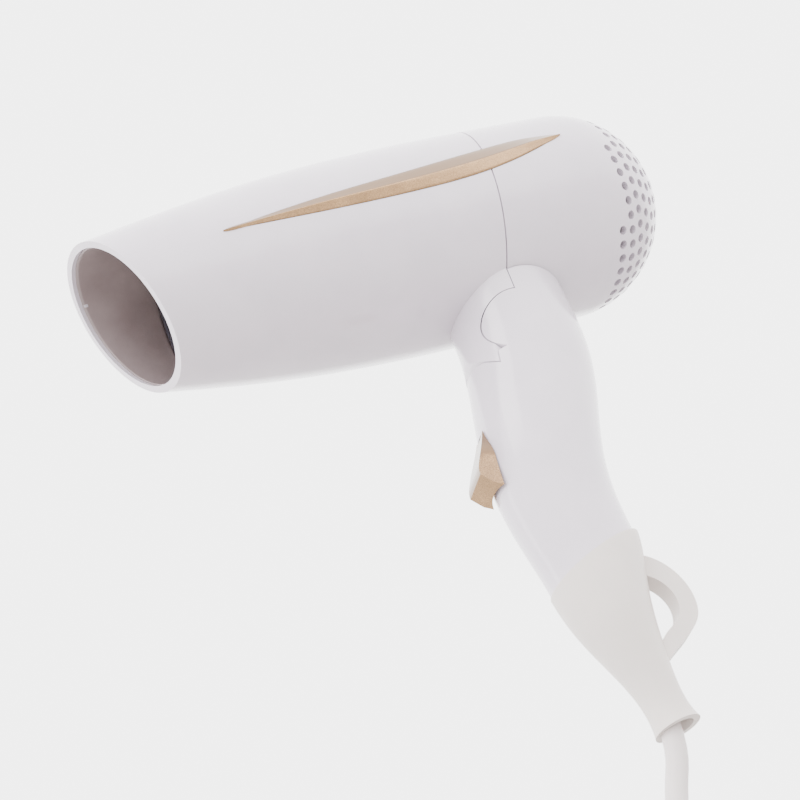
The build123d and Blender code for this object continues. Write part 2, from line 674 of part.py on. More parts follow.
# Two-pin plug, contour body with a grip and bare pins.
PIN_R, PIN_LENGTH, PIN_PITCH = 2.4, 19.0, 19.0
PLUG_LENGTH = 38.0
with BuildPart() as plug_body:
    for z, w, d in ((PLUG_TOP, 11, 10), (PLUG_TOP - 14, 17, 13), (PLUG_TOP - 25, 26, 17), (PLUG_TOP - 31, 35, 25)):
        with BuildSketch(Plane((TAIL_X, TAIL_Y, z))):
            RectangleRounded(w, d, 0.45 * d)
    loft()
    extrude(plug_body.faces().sort_by(Axis.Z)[0], amount=PLUG_LENGTH - 31)
save(plug_body.part, "plug_body")

with BuildPart() as plug_pins:
    for way in (-1, 1):
        foot = (TAIL_X + way * PIN_PITCH / 2, TAIL_Y, PLUG_TOP - PLUG_LENGTH)
        add(round_bar(foot, (0, 0, -1), PIN_R, PIN_LENGTH))
save(plug_pins.part, "plug_pins")
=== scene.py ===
"""Folding hair dryer: the visual model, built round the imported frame."""
import logging
import math
from dataclasses import dataclass, field
from enum import Enum
from typing import Sequence

import bmesh
import bpy
import numpy as np
from mathutils import Matrix, Vector


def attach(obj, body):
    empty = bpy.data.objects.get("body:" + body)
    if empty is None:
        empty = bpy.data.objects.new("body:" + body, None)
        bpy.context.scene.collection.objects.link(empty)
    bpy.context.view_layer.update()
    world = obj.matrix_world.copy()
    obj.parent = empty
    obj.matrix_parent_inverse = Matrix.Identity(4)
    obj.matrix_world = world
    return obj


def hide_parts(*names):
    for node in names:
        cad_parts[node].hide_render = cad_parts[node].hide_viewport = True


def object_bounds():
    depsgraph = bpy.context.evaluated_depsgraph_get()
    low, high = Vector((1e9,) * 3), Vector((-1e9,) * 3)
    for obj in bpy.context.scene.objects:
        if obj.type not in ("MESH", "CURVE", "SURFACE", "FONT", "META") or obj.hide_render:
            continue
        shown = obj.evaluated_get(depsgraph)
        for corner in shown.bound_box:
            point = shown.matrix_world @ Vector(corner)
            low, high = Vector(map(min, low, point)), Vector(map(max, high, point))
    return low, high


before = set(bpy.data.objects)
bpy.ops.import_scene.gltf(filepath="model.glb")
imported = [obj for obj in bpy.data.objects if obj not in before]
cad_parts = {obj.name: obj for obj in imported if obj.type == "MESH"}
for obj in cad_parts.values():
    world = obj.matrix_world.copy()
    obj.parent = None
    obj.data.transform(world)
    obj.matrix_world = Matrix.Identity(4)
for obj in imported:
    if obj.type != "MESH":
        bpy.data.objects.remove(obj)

log = logging.getLogger("hair_dryer")

MM = 0.001
CAD_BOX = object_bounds()

# Sizes shared with the frame, in metres.
AXIS_Z = 0.089                  # height of the barrel axis
SKIN_X = (-0.120, -0.066, -0.028, 0.006, 0.0526)
SKIN_RADIUS = (0.0227, 0.0310, 0.0342, 0.0351, 0.0350)
SKIN_FLARE = 0.17               # slope of the skin at its front end
CORD_D = 0.0064


class Body(Enum):
    """Rigid bodies of the frame."""

    HANDLE = "handle"
    BARREL = "barrel"
    FAN = "fan"
    SWITCH = "switch"


# ---------------------------------------------------------------- node helpers
def linear(hex_colour: str) -> tuple[float, float, float, float]:
    """Turn an sRGB hex colour into linear RGBA.

    Args:
        hex_colour: six hex digits, with or without a hash.

    Returns:
        Linear red, green, blue and an alpha of one.
    """
    digits = hex_colour.lstrip("#")
    srgb = np.array([int(digits[i:i + 2], 16) / 255 for i in (0, 2, 4)])
    low, high = srgb / 12.92, ((srgb + 0.055) / 1.055) ** 2.4
    red, green, blue = np.where(srgb <= 0.04045, low, high)
    return float(red), float(green), float(blue), 1.0


def add_node(tree: bpy.types.NodeTree, kind: str, inputs: dict | None = None,
             **settings: object) -> bpy.types.Node:
    """Add one node, with its settings and its inputs set or linked.

    Args:
        tree: the node tree.
        kind: Blender's type name of the node.
        inputs: socket name or index to a value, or to an output socket to link.
        settings: attributes of the node.

    Returns:
        The new node.
    """
    made = tree.nodes.new(kind)
    for name, value in settings.items():
        setattr(made, name, value)
    for name, value in (inputs or {}).items():
        if isinstance(value, bpy.types.NodeSocket):
            tree.links.new(value, made.inputs[name])
        else:
            made.inputs[name].default_value = value
    return made


def ramp(tree: bpy.types.NodeTree, factor: bpy.types.NodeSocket,
         stops: Sequence[tuple[float, str]]) -> bpy.types.NodeSocket:
    """Colour ramp over hex colours.

    Args:
        tree: the node tree.
        factor: what drives the ramp.
        stops: position and hex colour of each stop, in order.

    Returns:
        The colour output.
    """
    made = add_node(tree, "ShaderNodeValToRGB", {"Fac": factor})
    elements = made.color_ramp.elements
    while len(elements) < len(stops):
        elements.new(0.5)
    for element, (position, colour) in zip(elements, stops):
        element.position = position
        element.color = linear(colour)
    return made.outputs["Color"]


def span(tree: bpy.types.NodeTree, value: bpy.types.NodeSocket, low: float, high: float,
         start: float = 0.0, end: float = 1.0) -> bpy.types.NodeSocket:
    """Map a value between start and end to the span from low to high.

    Args:
        tree: the node tree.
        value: what is mapped.
        low: result at the start, and below it.
        high: result at the end, and above it.
        start: value that gives low.
        end: value that gives high.

    Returns:
        The mapped output.
    """
    settings = {"Value": value, "From Min": start, "From Max": end, "To Min": low, "To Max": high}
    return add_node(tree, "ShaderNodeMapRange", settings).outputs["Result"]


def upwardness(tree: bpy.types.NodeTree, source: str) -> bpy.types.NodeSocket:
    """Z of one of the coordinate node's outputs, such as Normal."""
    vector = add_node(tree, "ShaderNodeTexCoord").outputs[source]
    return add_node(tree, "ShaderNodeSeparateXYZ", {"Vector": vector}).outputs["Z"]


def new_material(name: str) -> tuple[bpy.types.Material, bpy.types.NodeTree, bpy.types.Node,
                                     bpy.types.NodeSocket]:
    """Make an empty material with a Principled shader.

    Args:
        name: name of the material.

    Returns:
        The material, its tree, its shader and the object coordinates in metres.
    """
    material = bpy.data.materials.new(name)
    material.use_nodes = True
    tree = material.node_tree
    tree.nodes.clear()
    shader = add_node(tree, "ShaderNodeBsdfPrincipled")
    add_node(tree, "ShaderNodeOutputMaterial", {"Surface": shader.outputs["BSDF"]})
    place = add_node(tree, "ShaderNodeTexCoord").outputs["Object"]
    return material, tree, shader, place


def noise(tree: bpy.types.NodeTree, place: bpy.types.NodeSocket, size: float, detail: float = 3.0,
          rough: float = 0.5) -> bpy.types.NodeSocket:
    """Noise whose lumps are `size` metres across.

    Args:
        tree: the node tree.
        place: coordinates in metres.
        size: width of a lump, in metres.
        detail: number of octaves.
        rough: strength of the finer octaves.

    Returns:
        The factor output.
    """
    settings = {"Vector": place, "Scale": 1 / size, "Detail": detail, "Roughness": rough}
    return add_node(tree, "ShaderNodeTexNoise", settings).outputs["Fac"]


def bump(tree: bpy.types.NodeTree, shader: bpy.types.Node, height: bpy.types.NodeSocket,
         depth: float) -> None:
    """Put a bump `depth` metres deep on a shader."""
    made = add_node(tree, "ShaderNodeBump", {"Height": height, "Distance": depth, "Strength": 1.0})
    tree.links.new(made.outputs["Normal"], shader.inputs["Normal"])


def clouded(dark: str, light: str) -> list[tuple[float, str]]:
    """Ramp stops that turn noise into soft patches of two colours."""
    return [(0.3, dark), (0.7, light)]


# ---------------------------------------------------------------- finishes
@dataclass(frozen=True)
class Moulded:
    """Injection-moulded plastic: an even body colour with faint flow clouds and the tool's texture."""

    name: str
    light: str
    dark: str
    roughness: float
    spread: float = 0.05         # how far the roughness wanders
    cloud: float = 18 * MM       # width of the flow clouds
    grain: float = 0.9 * MM      # width of the surface texture
    depth: float = 0.008 * MM    # height of the surface texture
    worn: float = 6 * MM         # width of the duller and shinier areas
    coat: float = 0.0
    coat_roughness: float = 0.08
    ior: float = 1.5
    subsurface: float = 0.0
    scatter: tuple[float, float, float] = (1.2 * MM, 1.0 * MM, 0.9 * MM)

    def build(self) -> bpy.types.Material:
        """Make the material."""
        material, tree, shader, place = new_material(self.name)
        clouds = noise(tree, place, self.cloud, 4.0, 0.55)
        texture = noise(tree, place, self.grain, 2.0, 0.6)
        tree.links.new(ramp(tree, clouds, clouded(self.dark, self.light)), shader.inputs["Base Color"])
        rub = noise(tree, place, self.worn)
        tree.links.new(span(tree, rub, self.roughness - self.spread, self.roughness + self.spread),
                       shader.inputs["Roughness"])
        bump(tree, shader, texture, self.depth)
        shader.inputs["IOR"].default_value = self.ior
        shader.inputs["Coat Weight"].default_value = self.coat
        shader.inputs["Coat Roughness"].default_value = self.coat_roughness
        shader.inputs["Subsurface Weight"].default_value = self.subsurface
        shader.inputs["Subsurface Radius"].default_value = self.scatter
        shader.inputs["Subsurface Scale"].default_value = 1.0
        return material


@dataclass(frozen=True)
class MetalLacquer:
    """Champagne lacquer: metal flakes in a tinted clear coat, which break up the highlight.

    Faces that look upwards are painted darker, which is painted shade: it keeps two facets apart in even
    light.
    """

    name: str
    light: str
    dark: str
    roughness: float
    spread: float = 0.05         # how far the roughness wanders
    flake: float = 0.12 * MM     # coarser than real flakes, which wouldn't show
    cloud: float = 9 * MM        # width of the denser areas of flake
    lift: float = 0.0015 * MM    # height of the flakes
    level: tuple[float, float] = (-0.04, 0.10)     # upward part of a face's normal, where the painted shade turns
    painted_shade: tuple[float, float] = (0.12, -0.60)      # painted shade added to the ramp below and above that: faces that look up go darker
    metallic: float = 0.85
    coat: float = 0.5
    coat_roughness: float = 0.12

    def build(self) -> bpy.types.Material:
        """Make the material."""
        material, tree, shader, place = new_material(self.name)
        flakes = add_node(tree, "ShaderNodeTexVoronoi", {"Vector": place, "Scale": 1 / self.flake})
        glint = add_node(tree, "ShaderNodeSeparateColor", {"Color": flakes.outputs["Color"]}).outputs["Red"]
        clouds = noise(tree, place, self.cloud)
        # Painted shade: faces that look up move towards the dark end of the ramp.
        turned = span(tree, upwardness(tree, "Normal"), *self.painted_shade, *self.level)
        shade = add_node(tree, "ShaderNodeMath", {0: glint, 1: clouds, 2: turned}, operation="MULTIPLY_ADD")
        tree.links.new(ramp(tree, shade.outputs[0], [(0.0, self.dark), (1.0, self.light)]),
                       shader.inputs["Base Color"])
        tree.links.new(span(tree, clouds, self.roughness - self.spread, self.roughness + self.spread),
                       shader.inputs["Roughness"])
        bump(tree, shader, glint, self.lift)
        shader.inputs["Metallic"].default_value = self.metallic
        shader.inputs["Coat Weight"].default_value = self.coat
        shader.inputs["Coat Roughness"].default_value = self.coat_roughness
        return material


@dataclass(frozen=True)
class DrawnMetal:
    """Drawn, stamped or plated metal: fine marks along one axis and dull spots."""

    name: str
    light: str
    dark: str
    roughness: float
    spread: float = 0.08         # how far the roughness wanders
    stretch: tuple[float, float, float] = (1.0, 12.0, 12.0)
    mark: float = 1.5 * MM       # length of the marks
    dull: float = 5 * MM         # width of the dull spots
    lift: float = 0.006 * MM     # height of the marks

    def build(self) -> bpy.types.Material:
        """Make the material."""
        material, tree, shader, place = new_material(self.name)
        along = add_node(tree, "ShaderNodeMapping", {"Vector": place, "Scale": self.stretch})
        marks = noise(tree, along.outputs["Vector"], self.mark, 4.0, 0.6)
        spots = noise(tree, place, self.dull)
        tree.links.new(ramp(tree, spots, clouded(self.dark, self.light)), shader.inputs["Base Color"])
        tree.links.new(span(tree, marks, self.roughness - self.spread, self.roughness + self.spread),
                       shader.inputs["Roughness"])
        bump(tree, shader, marks, self.lift)
        shader.inputs["Metallic"].default_value = 1.0
        return material


@dataclass(frozen=True)
class Mica:
    """Pressed mica paper: pearly overlapping flakes about 2 mm wide, tan where the heat has browned it."""

    name: str
    light: str
    dark: str
    flake: float = 2 * MM
    lift: float = 0.03 * MM

    def build(self) -> bpy.types.Material:
        """Make the material."""
        material, tree, shader, place = new_material(self.name)
        flakes = add_node(tree, "ShaderNodeTexVoronoi", {"Vector": place, "Scale": 1 / self.flake})
        shade = add_node(tree, "ShaderNodeSeparateColor", {"Color": flakes.outputs["Color"]}).outputs["Green"]
        tree.links.new(ramp(tree, shade, [(0.0, self.dark), (1.0, self.light)]), shader.inputs["Base Color"])
        tree.links.new(span(tree, shade, 0.3, 0.55), shader.inputs["Roughness"])
        bump(tree, shader, shade, self.lift)
        return material


@dataclass(frozen=True)
class HookAndLoop:
    """Woven hook-and-loop strap: rows of small stiff loops 0.8 mm apart."""

    name: str
    light: str
    dark: str
    pitch: float = 0.8 * MM
    pile: float = 0.25 * MM      # height of the loops

    def build(self) -> bpy.types.Material:
        """Make the material."""
        material, tree, shader, place = new_material(self.name)
        loops = add_node(tree, "ShaderNodeTexVoronoi", {"Vector": place, "Scale": 1 / self.pitch})
        near = loops.outputs["Distance"]
        # Painted shade: the loop tops are lighter and the hollows between them darker.
        tree.links.new(ramp(tree, near, [(0.1, self.light), (0.6, self.dark)]), shader.inputs["Base Color"])
        shader.inputs["Roughness"].default_value = 0.9
        bump(tree, shader, near, -self.pile)
        return material


# Housing: glossy ABS, cool white with a trace of lavender. The boot and the cord are warmer and duller.
BODY = Moulded("abs_gloss_white", "#D0C7D1", "#C9C0CB", 0.17, 0.03, depth=0.004 * MM, coat=0.35,
               subsurface=0.06)
BOOT = Moulded("soft_pvc_ivory", "#D3CAC5", "#CBC2BE", 0.42, 0.06, grain=0.5 * MM, depth=0.01 * MM,
               subsurface=0.08)
CORD_SHEATH = Moulded("pvc_sheath_ivory", "#D0C7C6", "#C8BFBE", 0.38, 0.06, grain=1.4 * MM, depth=0.02 * MM,
                      subsurface=0.08)
LINER = Moulded("glass_filled_nylon_dark", "#5C5660", "#4A4550", 0.55, 0.08, grain=0.4 * MM,
                depth=0.02 * MM)
BLACK = Moulded("nylon_black", "#1C1C1F", "#121214", 0.5, 0.08, grain=0.4 * MM, depth=0.02 * MM)
BOARD = Moulded("epoxy_glass_board", "#1E6A3A", "#17542E", 0.35, 0.05, cloud=4 * MM)
INSULATION = Moulded("silicone_insulation_brown", "#6A3A20", "#4E2A17", 0.4, 0.06)
# Champagne lacquer of the trims and the switch; faces that look up take painted shade from the dark end of
# its ramp.
GOLD = MetalLacquer("champagne_lacquer", "#E0B483", "#6E5236", 0.30)
STEEL = DrawnMetal("drawn_steel", "#B9BABD", "#9A9BA0", 0.35)
ZINC = DrawnMetal("zinc_plated_steel", "#C9CBD0", "#A9ACB4", 0.28)
NICHROME = DrawnMetal("oxidised_nichrome", "#7A706A", "#4B4440", 0.5, mark=0.6 * MM)
BRASS = DrawnMetal("stamped_brass", "#D9B25E", "#B98F3F", 0.3)
NICKEL = DrawnMetal("nickel_plated_brass", "#D6D4CC", "#BDB9AE", 0.2)
MICA = Mica("pressed_mica", "#CDBB92", "#A58E62")
SHIELD = Mica("mica_paper_tube", "#C4B593", "#9F9070")
# Lining of the outlet: painted shade, a grey-brown sheet over the inner wall of the white barrel that darkens
# the inside of the mouth; lightly glossy.
SHADE_LINING = Moulded("painted_shade_taupe", "#9A8B8C", "#877879", 0.36, 0.06, grain=0.6 * MM, depth=0.01 * MM)
SCREEN = Moulded("filter_mesh_white", "#BDB8BD", "#B2ADB3", 0.7, 0.05, grain=0.5 * MM, depth=0.08 * MM)
STRAP = HookAndLoop("hook_and_loop_black", "#2B2B2E", "#101012")

WELD = 0.002 * MM          # points this close are one
CRISP = math.radians(32)   # edges sharper than this stay crisp

NODE_FINISH = {
    BODY: ["front_barrel", "rear_barrel", "inlet_grille", "handle_shell_left", "handle_shell_right"],
    BOOT: ["cord_boot"],
    GOLD: ["trim_strip_left", "trim_strip_right", "switch_slider"],
    LINER: ["outlet_guard", "fan_duct"],
    BLACK: ["fan_impeller", "lint_screen", "switch_body", "cord_clamp"],
    SHIELD: ["heat_shield"],
    MICA: ["heater_frame"],
    NICHROME: ["heating_coils"],
    STEEL: ["thermostat", "thermal_fuse", "motor_shaft", "detent_plunger", "detent_spring"],
    ZINC: ["dc_motor", "handle_screws", "clamp_screws"],
    BOARD: ["rectifier_board"],
    INSULATION: ["barrel_leads", "handle_leads"],
    BRASS: ["switch_terminals"],
    NICKEL: ["plug_pins"],
    CORD_SHEATH: ["cord_end", "plug_body"],
    STRAP: ["cord_tie"],
    SHADE_LINING: [],
    SCREEN: [],
}


def dress_nodes() -> dict[str, bpy.types.Material]:
    """Give every CAD node its finish and a smooth skin with crisp edges.

    Returns:
        The materials by name, for the pieces that are made here.
    """
    made = {}
    for finish, names in NODE_FINISH.items():
        material = finish.build()
        made[finish.name] = material
        for name in names:
            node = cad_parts[name]
            node.data.materials.clear()
            node.data.materials.append(material)
            node.data.shade_smooth()
            weld = node.modifiers.new("weld", "WELD")
            weld.merge_threshold = WELD
            edges = node.modifiers.new("edges", "EDGE_SPLIT")
            edges.split_angle = CRISP
    log.info("%d finishes on %d nodes", len(made), sum(map(len, NODE_FINISH.values())))
    return made


# ---------------------------------------------------------------- surfaces
POLE = 0.001               # surfaces of revolution start this far from their pole, in radians


def clamped_spline(knots: Sequence[float], values: Sequence[float], start: float, end: float,
                   x: np.ndarray) -> np.ndarray:
    """Cubic spline through the values, with given slopes at both ends.

    The slopes at the inner knots solve the usual three-term system, which makes the curvature continuous.
    Each stretch is then the Hermite cubic of its two values and slopes.

    Args:
        knots: rising positions.
        values: value at each knot.
        start: slope at the first knot.
        end: slope at the last knot.
        x: where to work it out.

    Returns:
        The spline at x.
    """
    k, v = np.asarray(knots, float), np.asarray(values, float)
    h = np.diff(k)
    system = np.eye(len(k))
    rate = np.diff(v) / h
    known = np.concatenate([[start], 3 * (h[1:] * rate[:-1] + h[:-1] * rate[1:]), [end]])
    inner = np.arange(1, len(k) - 1)
    system[inner, inner - 1] = h[1:]
    system[inner, inner] = 2 * (h[:-1] + h[1:])
    system[inner, inner + 1] = h[:-1]
    slope = np.linalg.solve(system, known)
    i = np.clip(np.searchsorted(k, x) - 1, 0, len(h) - 1)
    t = (x - k[i]) / h[i]
    return (v[i] * (1 + 2 * t) * (1 - t) ** 2 + v[i + 1] * t ** 2 * (3 - 2 * t)
            + h[i] * (slope[i] * t * (1 - t) ** 2 - slope[i + 1] * t ** 2 * (1 - t)))


def skin_radius(x: np.ndarray) -> np.ndarray:
    """Radius of the barrel's outer skin at x, in front of the dome."""
    return clamped_spline(SKIN_X, SKIN_RADIUS, SKIN_FLARE, 0.0, x)


def around_barrel(x: np.ndarray, radius: np.ndarray, turn: np.ndarray) -> np.ndarray:
    """Points at x, `radius` from the barrel's axis and turned about it from straight up."""
    return np.stack([x, radius * np.sin(turn), AXIS_Z + radius * np.cos(turn)], -1)


def surface(name: str, points: np.ndarray, close_u: bool = False, close_v: bool = False) -> bpy.types.Object:
    """Make a mesh of a grid of points.

    Args:
        name: name of the piece.
        points: array of rows, columns and x, y, z. Rows run along u, columns along v.
        close_u: join the last row to the first.
        close_v: join the last column to the first.

    Returns:
        The new object, whose faces point along du x dv.
    """
    rows, columns = points.shape[:2]
    index = np.arange(rows * columns).reshape(rows, columns)
    u0 = index if close_u else index[:-1]
    u1 = np.roll(index, -1, 0) if close_u else index[1:]
    if close_v:
        quads = np.stack([u0, u1, np.roll(u1, -1, 1), np.roll(u0, -1, 1)], -1)
    else:
        quads = np.stack([u0[:, :-1], u1[:, :-1], u1[:, 1:], u0[:, 1:]], -1)
    data = bpy.data.meshes.new(name)
    data.from_pydata(points.reshape(-1, 3).tolist(), [], quads.reshape(-1, 4).tolist())
    data.shade_smooth()
    made = bpy.data.objects.new(name, data)
    bpy.context.scene.collection.objects.link(made)
    return made


def finish_piece(piece: bpy.types.Object, body: Body, material: bpy.types.Material,
                 replaced: Sequence[str] = ()) -> None:
    """Close a piece's doubles, turn its faces outwards, give it a body and a finish, and hide the CAD nodes
    that it stands for.

    Args:
        piece: the new piece.
        body: the body that it rides on.
        material: its material.
        replaced: CAD nodes that it stands for.
    """
    mesh = bmesh.new()
    mesh.from_mesh(piece.data)
    bmesh.ops.remove_doubles(mesh, verts=mesh.verts, dist=WELD / 2)
    bmesh.ops.recalc_face_normals(mesh, faces=mesh.faces)
    mesh.to_mesh(piece.data)
    mesh.free()
    piece.data.materials.append(material)
    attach(piece, body.value)
    if replaced:
        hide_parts(*replaced)


# ---------------------------------------------------------------- barrel trim and lining
@dataclass
class TrimStrip:
    """Spindle-shaped strip in the side of the barrel, with a crease between two facets."""

    nose: tuple[float, float] = (-0.0748, 0.0880)
    tail: tuple[float, float] = (0.0483, 0.0954)
    top: tuple[tuple[float, float], ...] = (
        (-0.045, 0.0903), (-0.013, 0.0925), (0.0208, 0.0960), (0.038, 0.0968))
    low: tuple[tuple[float, float], ...] = (
        (-0.045, 0.0853), (-0.013, 0.0844), (0.0192, 0.0868), (0.038, 0.0916))
    crest: float = 1.5 * MM       # height of the crease over the skin
    edge: float = 0.45 * MM       # height of the edges over the skin
    depth: float = 0.8 * MM       # depth of the edges in the bed
    blunt: float = 0.03           # share of the length over which a tip is rounded
    taper: float = 0.08           # share of the length that is made fuller at a tip
    fuller: float = 0.6 * MM      # by how much, at most
    full_width: float = 6 * MM    # the facets are at full height where the strip is this wide
    least: float = 0.35           # share of that height at the tips
    columns: int = 240
    # Section from the lower edge (0) to the upper (1): its height is -1 in the bed, 1 at an edge and 2 at the
    # crease, which lies nearer the lower edge.
    across: tuple[float, ...] = (0, 0, 0, 0.05, 0.15, 0.28, 0.38, 0.42, 0.46, 0.55, 0.7, 0.85, 0.95, 1, 1, 1)
    rise: tuple[float, ...] = (
        -1, -0.3, 0.7, 1.0, 1.25, 1.6, 1.9, 2.0, 1.93, 1.72, 1.45, 1.18, 1.0, 0.7, -0.3, -1)

    def outline(self, x: np.ndarray) -> tuple[np.ndarray, np.ndarray]:
        """Lower and upper edge at x: splines through the named points, rounded off at both tips."""
        edges = []
        for points in (self.low, self.top):
            knots = [self.nose[0]] + [px for px, _ in points] + [self.tail[0]]
            heights = [self.nose[1]] + [pz for _, pz in points] + [self.tail[1]]
            start = (heights[1] - heights[0]) / (knots[1] - knots[0])
            end = (heights[-1] - heights[-2]) / (knots[-1] - knots[-2])
            edges.append(clamped_spline(knots, heights, start, end, x))
        low, high = edges
        middle = (low + high) / 2
        along = (x - self.nose[0]) / (self.tail[0] - self.nose[0])
        tip = np.minimum(along, 1 - along)
        rounding = np.sqrt(np.clip(1 - (1 - np.clip(tip / self.blunt, 0, 1)) ** 2, 0, 1))
        half = ((high - low) / 2 + self.fuller * (1 - np.clip(tip / self.taper, 0, 1))) * rounding
        return middle - half, middle + half

    def build(self, side: int, material: bpy.types.Material, name: str, node: str) -> None:
        """Make one strip: at each x its section goes up one wall, over two facets and down the other wall.

        Args:
            side: -1 for the near side and 1 for the far side.
            material: the lacquer.
            name: name of the piece.
            node: CAD node that it stands for.
        """
        t = (1 - np.cos(np.linspace(0, np.pi, self.columns))) / 2
        x = self.nose[0] + (self.tail[0] - self.nose[0]) * t
        low, high = self.outline(x)
        rise = np.array(self.rise)
        lift = np.where(rise < 0, rise * self.depth, np.minimum(rise, 1) * self.edge
                        + np.clip(rise - 1, 0, 1) * (self.crest - self.edge))
        share = self.least + (1 - self.least) * np.clip((high - low) / self.full_width, 0, 1)[:, None]
        z = low[:, None] + (high - low)[:, None] * np.array(self.across)
        reach = skin_radius(x)[:, None] + np.where(lift > 0, lift * share, lift)
        y = side * np.sqrt(reach ** 2 - (z - AXIS_Z) ** 2)
        points = np.stack([np.broadcast_to(x[:, None], z.shape), y, z], -1)
        strip = surface(name, points, close_v=True)
        finish_piece(strip, Body.BARREL, material, [node])


@dataclass
class BarrelDetails:
    """Pieces of the barrel's ends: the outlet's lining of painted shade and its catches, the filter screen
    and a latch nub.
    """

    wall: float = 2.2 * MM              # of the barrel
    mouth_x: float = -0.1052
    mouth_slant: float = 19.7           # degrees
    mouth_radius: float = 0.0228        # of the catches' ring
    lining_lip: float = 1.4 * MM        # how far the lining starts inside the mouth's edge
    lining_end: float = -0.0842
    lining_gap: float = 0.02 * MM       # between the barrel and the lining
    lining_depth: float = 0.5 * MM      # from the barrel to the lining's inner face
    lining_rows: int = 24
    catch_places: tuple[float, ...] = (38.0, 142.0, 218.0, 322.0)     # degrees from straight up
    catch_inset: float = 2.6 * MM       # from the mouth's plane to the middle of a catch
    catch_long: float = 1.0 * MM        # half length
    catch_wide: float = 0.7 * MM        # half width
    catch_high: float = 0.7 * MM
    catch_root: tuple[float, float] = (0.10 * MM, 0.15 * MM)          # depth of the edge and base in the wall
    dome_x: float = 0.0526
    dome_radius: float = 0.035
    screen_gap: float = 0.5 * MM        # between the dome and the screen
    screen_wall: float = 0.4 * MM
    screen_reach: float = 84.0          # degrees from the axis
    screen_rows: int = 40
    latch_x: float = 0.0640
    latch_long: float = 3.0 * MM        # half length
    latch_wide: float = 4.2 * MM        # half width
    latch_high: float = 2.3 * MM
    latch_root: float = 0.5 * MM
    latch_lean: float = 0.28            # slope of the dome there
    segments: int = 96

    @property
    def slope(self) -> float:
        """How far the mouth comes forward for each metre up."""
        return math.tan(math.radians(self.mouth_slant))

    def lining(self, material: bpy.types.Material) -> None:
        """Line the outlet with a sheet of painted shade: the skin's inner radius carried round the axis, from
        the mouth to the guard.
        """
        turn = np.linspace(0, 2 * np.pi, self.segments, endpoint=False)
        forth = np.linspace(0, 1, self.lining_rows)
        fraction = np.concatenate([forth, forth[::-1]])[:, None]
        shrink = np.repeat([self.lining_gap, self.lining_depth], self.lining_rows)[:, None]
        radius = self.mouth_radius
        for _ in range(4):      # the mouth's edge at each angle, where plane and skin meet
            start = self.mouth_x + self.lining_lip - self.slope * radius * np.cos(turn)
            radius = skin_radius(start) - self.wall
        x = start + (self.lining_end - start) * fraction
        points = around_barrel(x, skin_radius(x) - self.wall - shrink, turn)
        lining = surface("outlet_painted_shade_lining", points, close_u=True, close_v=True)
        finish_piece(lining, Body.BARREL, material)

    def catches(self, material: bpy.types.Material) -> None:
        """Four small catches for an air concentrator, just inside the mouth: low square-ended ridges.

        The height over the wall is the root of (1 - u^4)(1 - v^4), for u and v from -1 to 1.
        """
        u = np.linspace(-1, 1, 15)[:, None]
        v = np.linspace(-1, 1, 13)[None, :]
        height = self.catch_high * np.sqrt((1 - u ** 4) * (1 - v ** 4))
        edge, base = self.catch_root
        for number, place in enumerate(self.catch_places, 1):
            turn = math.radians(place) + v * self.catch_wide / self.mouth_radius + 0 * u
            x = self.mouth_x - self.slope * self.mouth_radius * np.cos(turn) + self.catch_inset
            x = x + u * self.catch_long
            wall = skin_radius(x) - self.wall
            top = around_barrel(x, wall + edge - height, turn)
            bottom = around_barrel(x, wall + base, turn)
            catch = surface(f"outlet_catch_{number}", np.concatenate([top, bottom[::-1]]), close_u=True)
            finish_piece(catch, Body.BARREL, material)

    def screen(self, material: bpy.types.Material) -> None:
        """Filter screen behind the grille: part of a sphere inside the dome, with a thin wall."""
        turn = np.linspace(0, 2 * np.pi, self.segments, endpoint=False)
        polar = np.linspace(POLE, math.radians(self.screen_reach), self.screen_rows)
        tilt = np.concatenate([polar, polar[::-1]])[:, None]
        radius = self.dome_radius - self.wall - self.screen_gap
        sphere = np.repeat([radius, radius - self.screen_wall], self.screen_rows)[:, None]
        x = self.dome_x + sphere * np.cos(tilt) + 0 * turn
        screen = surface("filter_screen", around_barrel(x, sphere * np.sin(tilt), turn), close_v=True)
        finish_piece(screen, Body.BARREL, material)

    def latch(self, material: bpy.types.Material) -> None:
        """Nub that opens the grille, on top at its edge: a flattened half egg rooted in the skin."""
        u = np.linspace(POLE, np.pi / 2 + 0.5, 20)[:, None]
        v = np.linspace(0, 2 * np.pi, 40, endpoint=False)[None, :]
        along = self.latch_long * np.sin(u) * np.cos(v)
        y = self.latch_wide * np.sin(u) * np.sin(v)
        skin = AXIS_Z + math.sqrt(self.dome_radius ** 2 - (self.latch_x - self.dome_x) ** 2)
        z = skin - self.latch_root + self.latch_high * np.cos(u) - self.latch_lean * along
        latch = surface("grille_latch", np.stack([self.latch_x + along, y, z], -1), close_v=True)
        finish_piece(latch, Body.BARREL, material)

    def build(self, made: dict[str, bpy.types.Material]) -> None:
        """Make all the pieces of the barrel's ends."""
        self.lining(made[SHADE_LINING.name])
        self.catches(made[BODY.name])
        self.screen(made[SCREEN.name])
        self.latch(made[BODY.name])
        log.info("barrel details made")


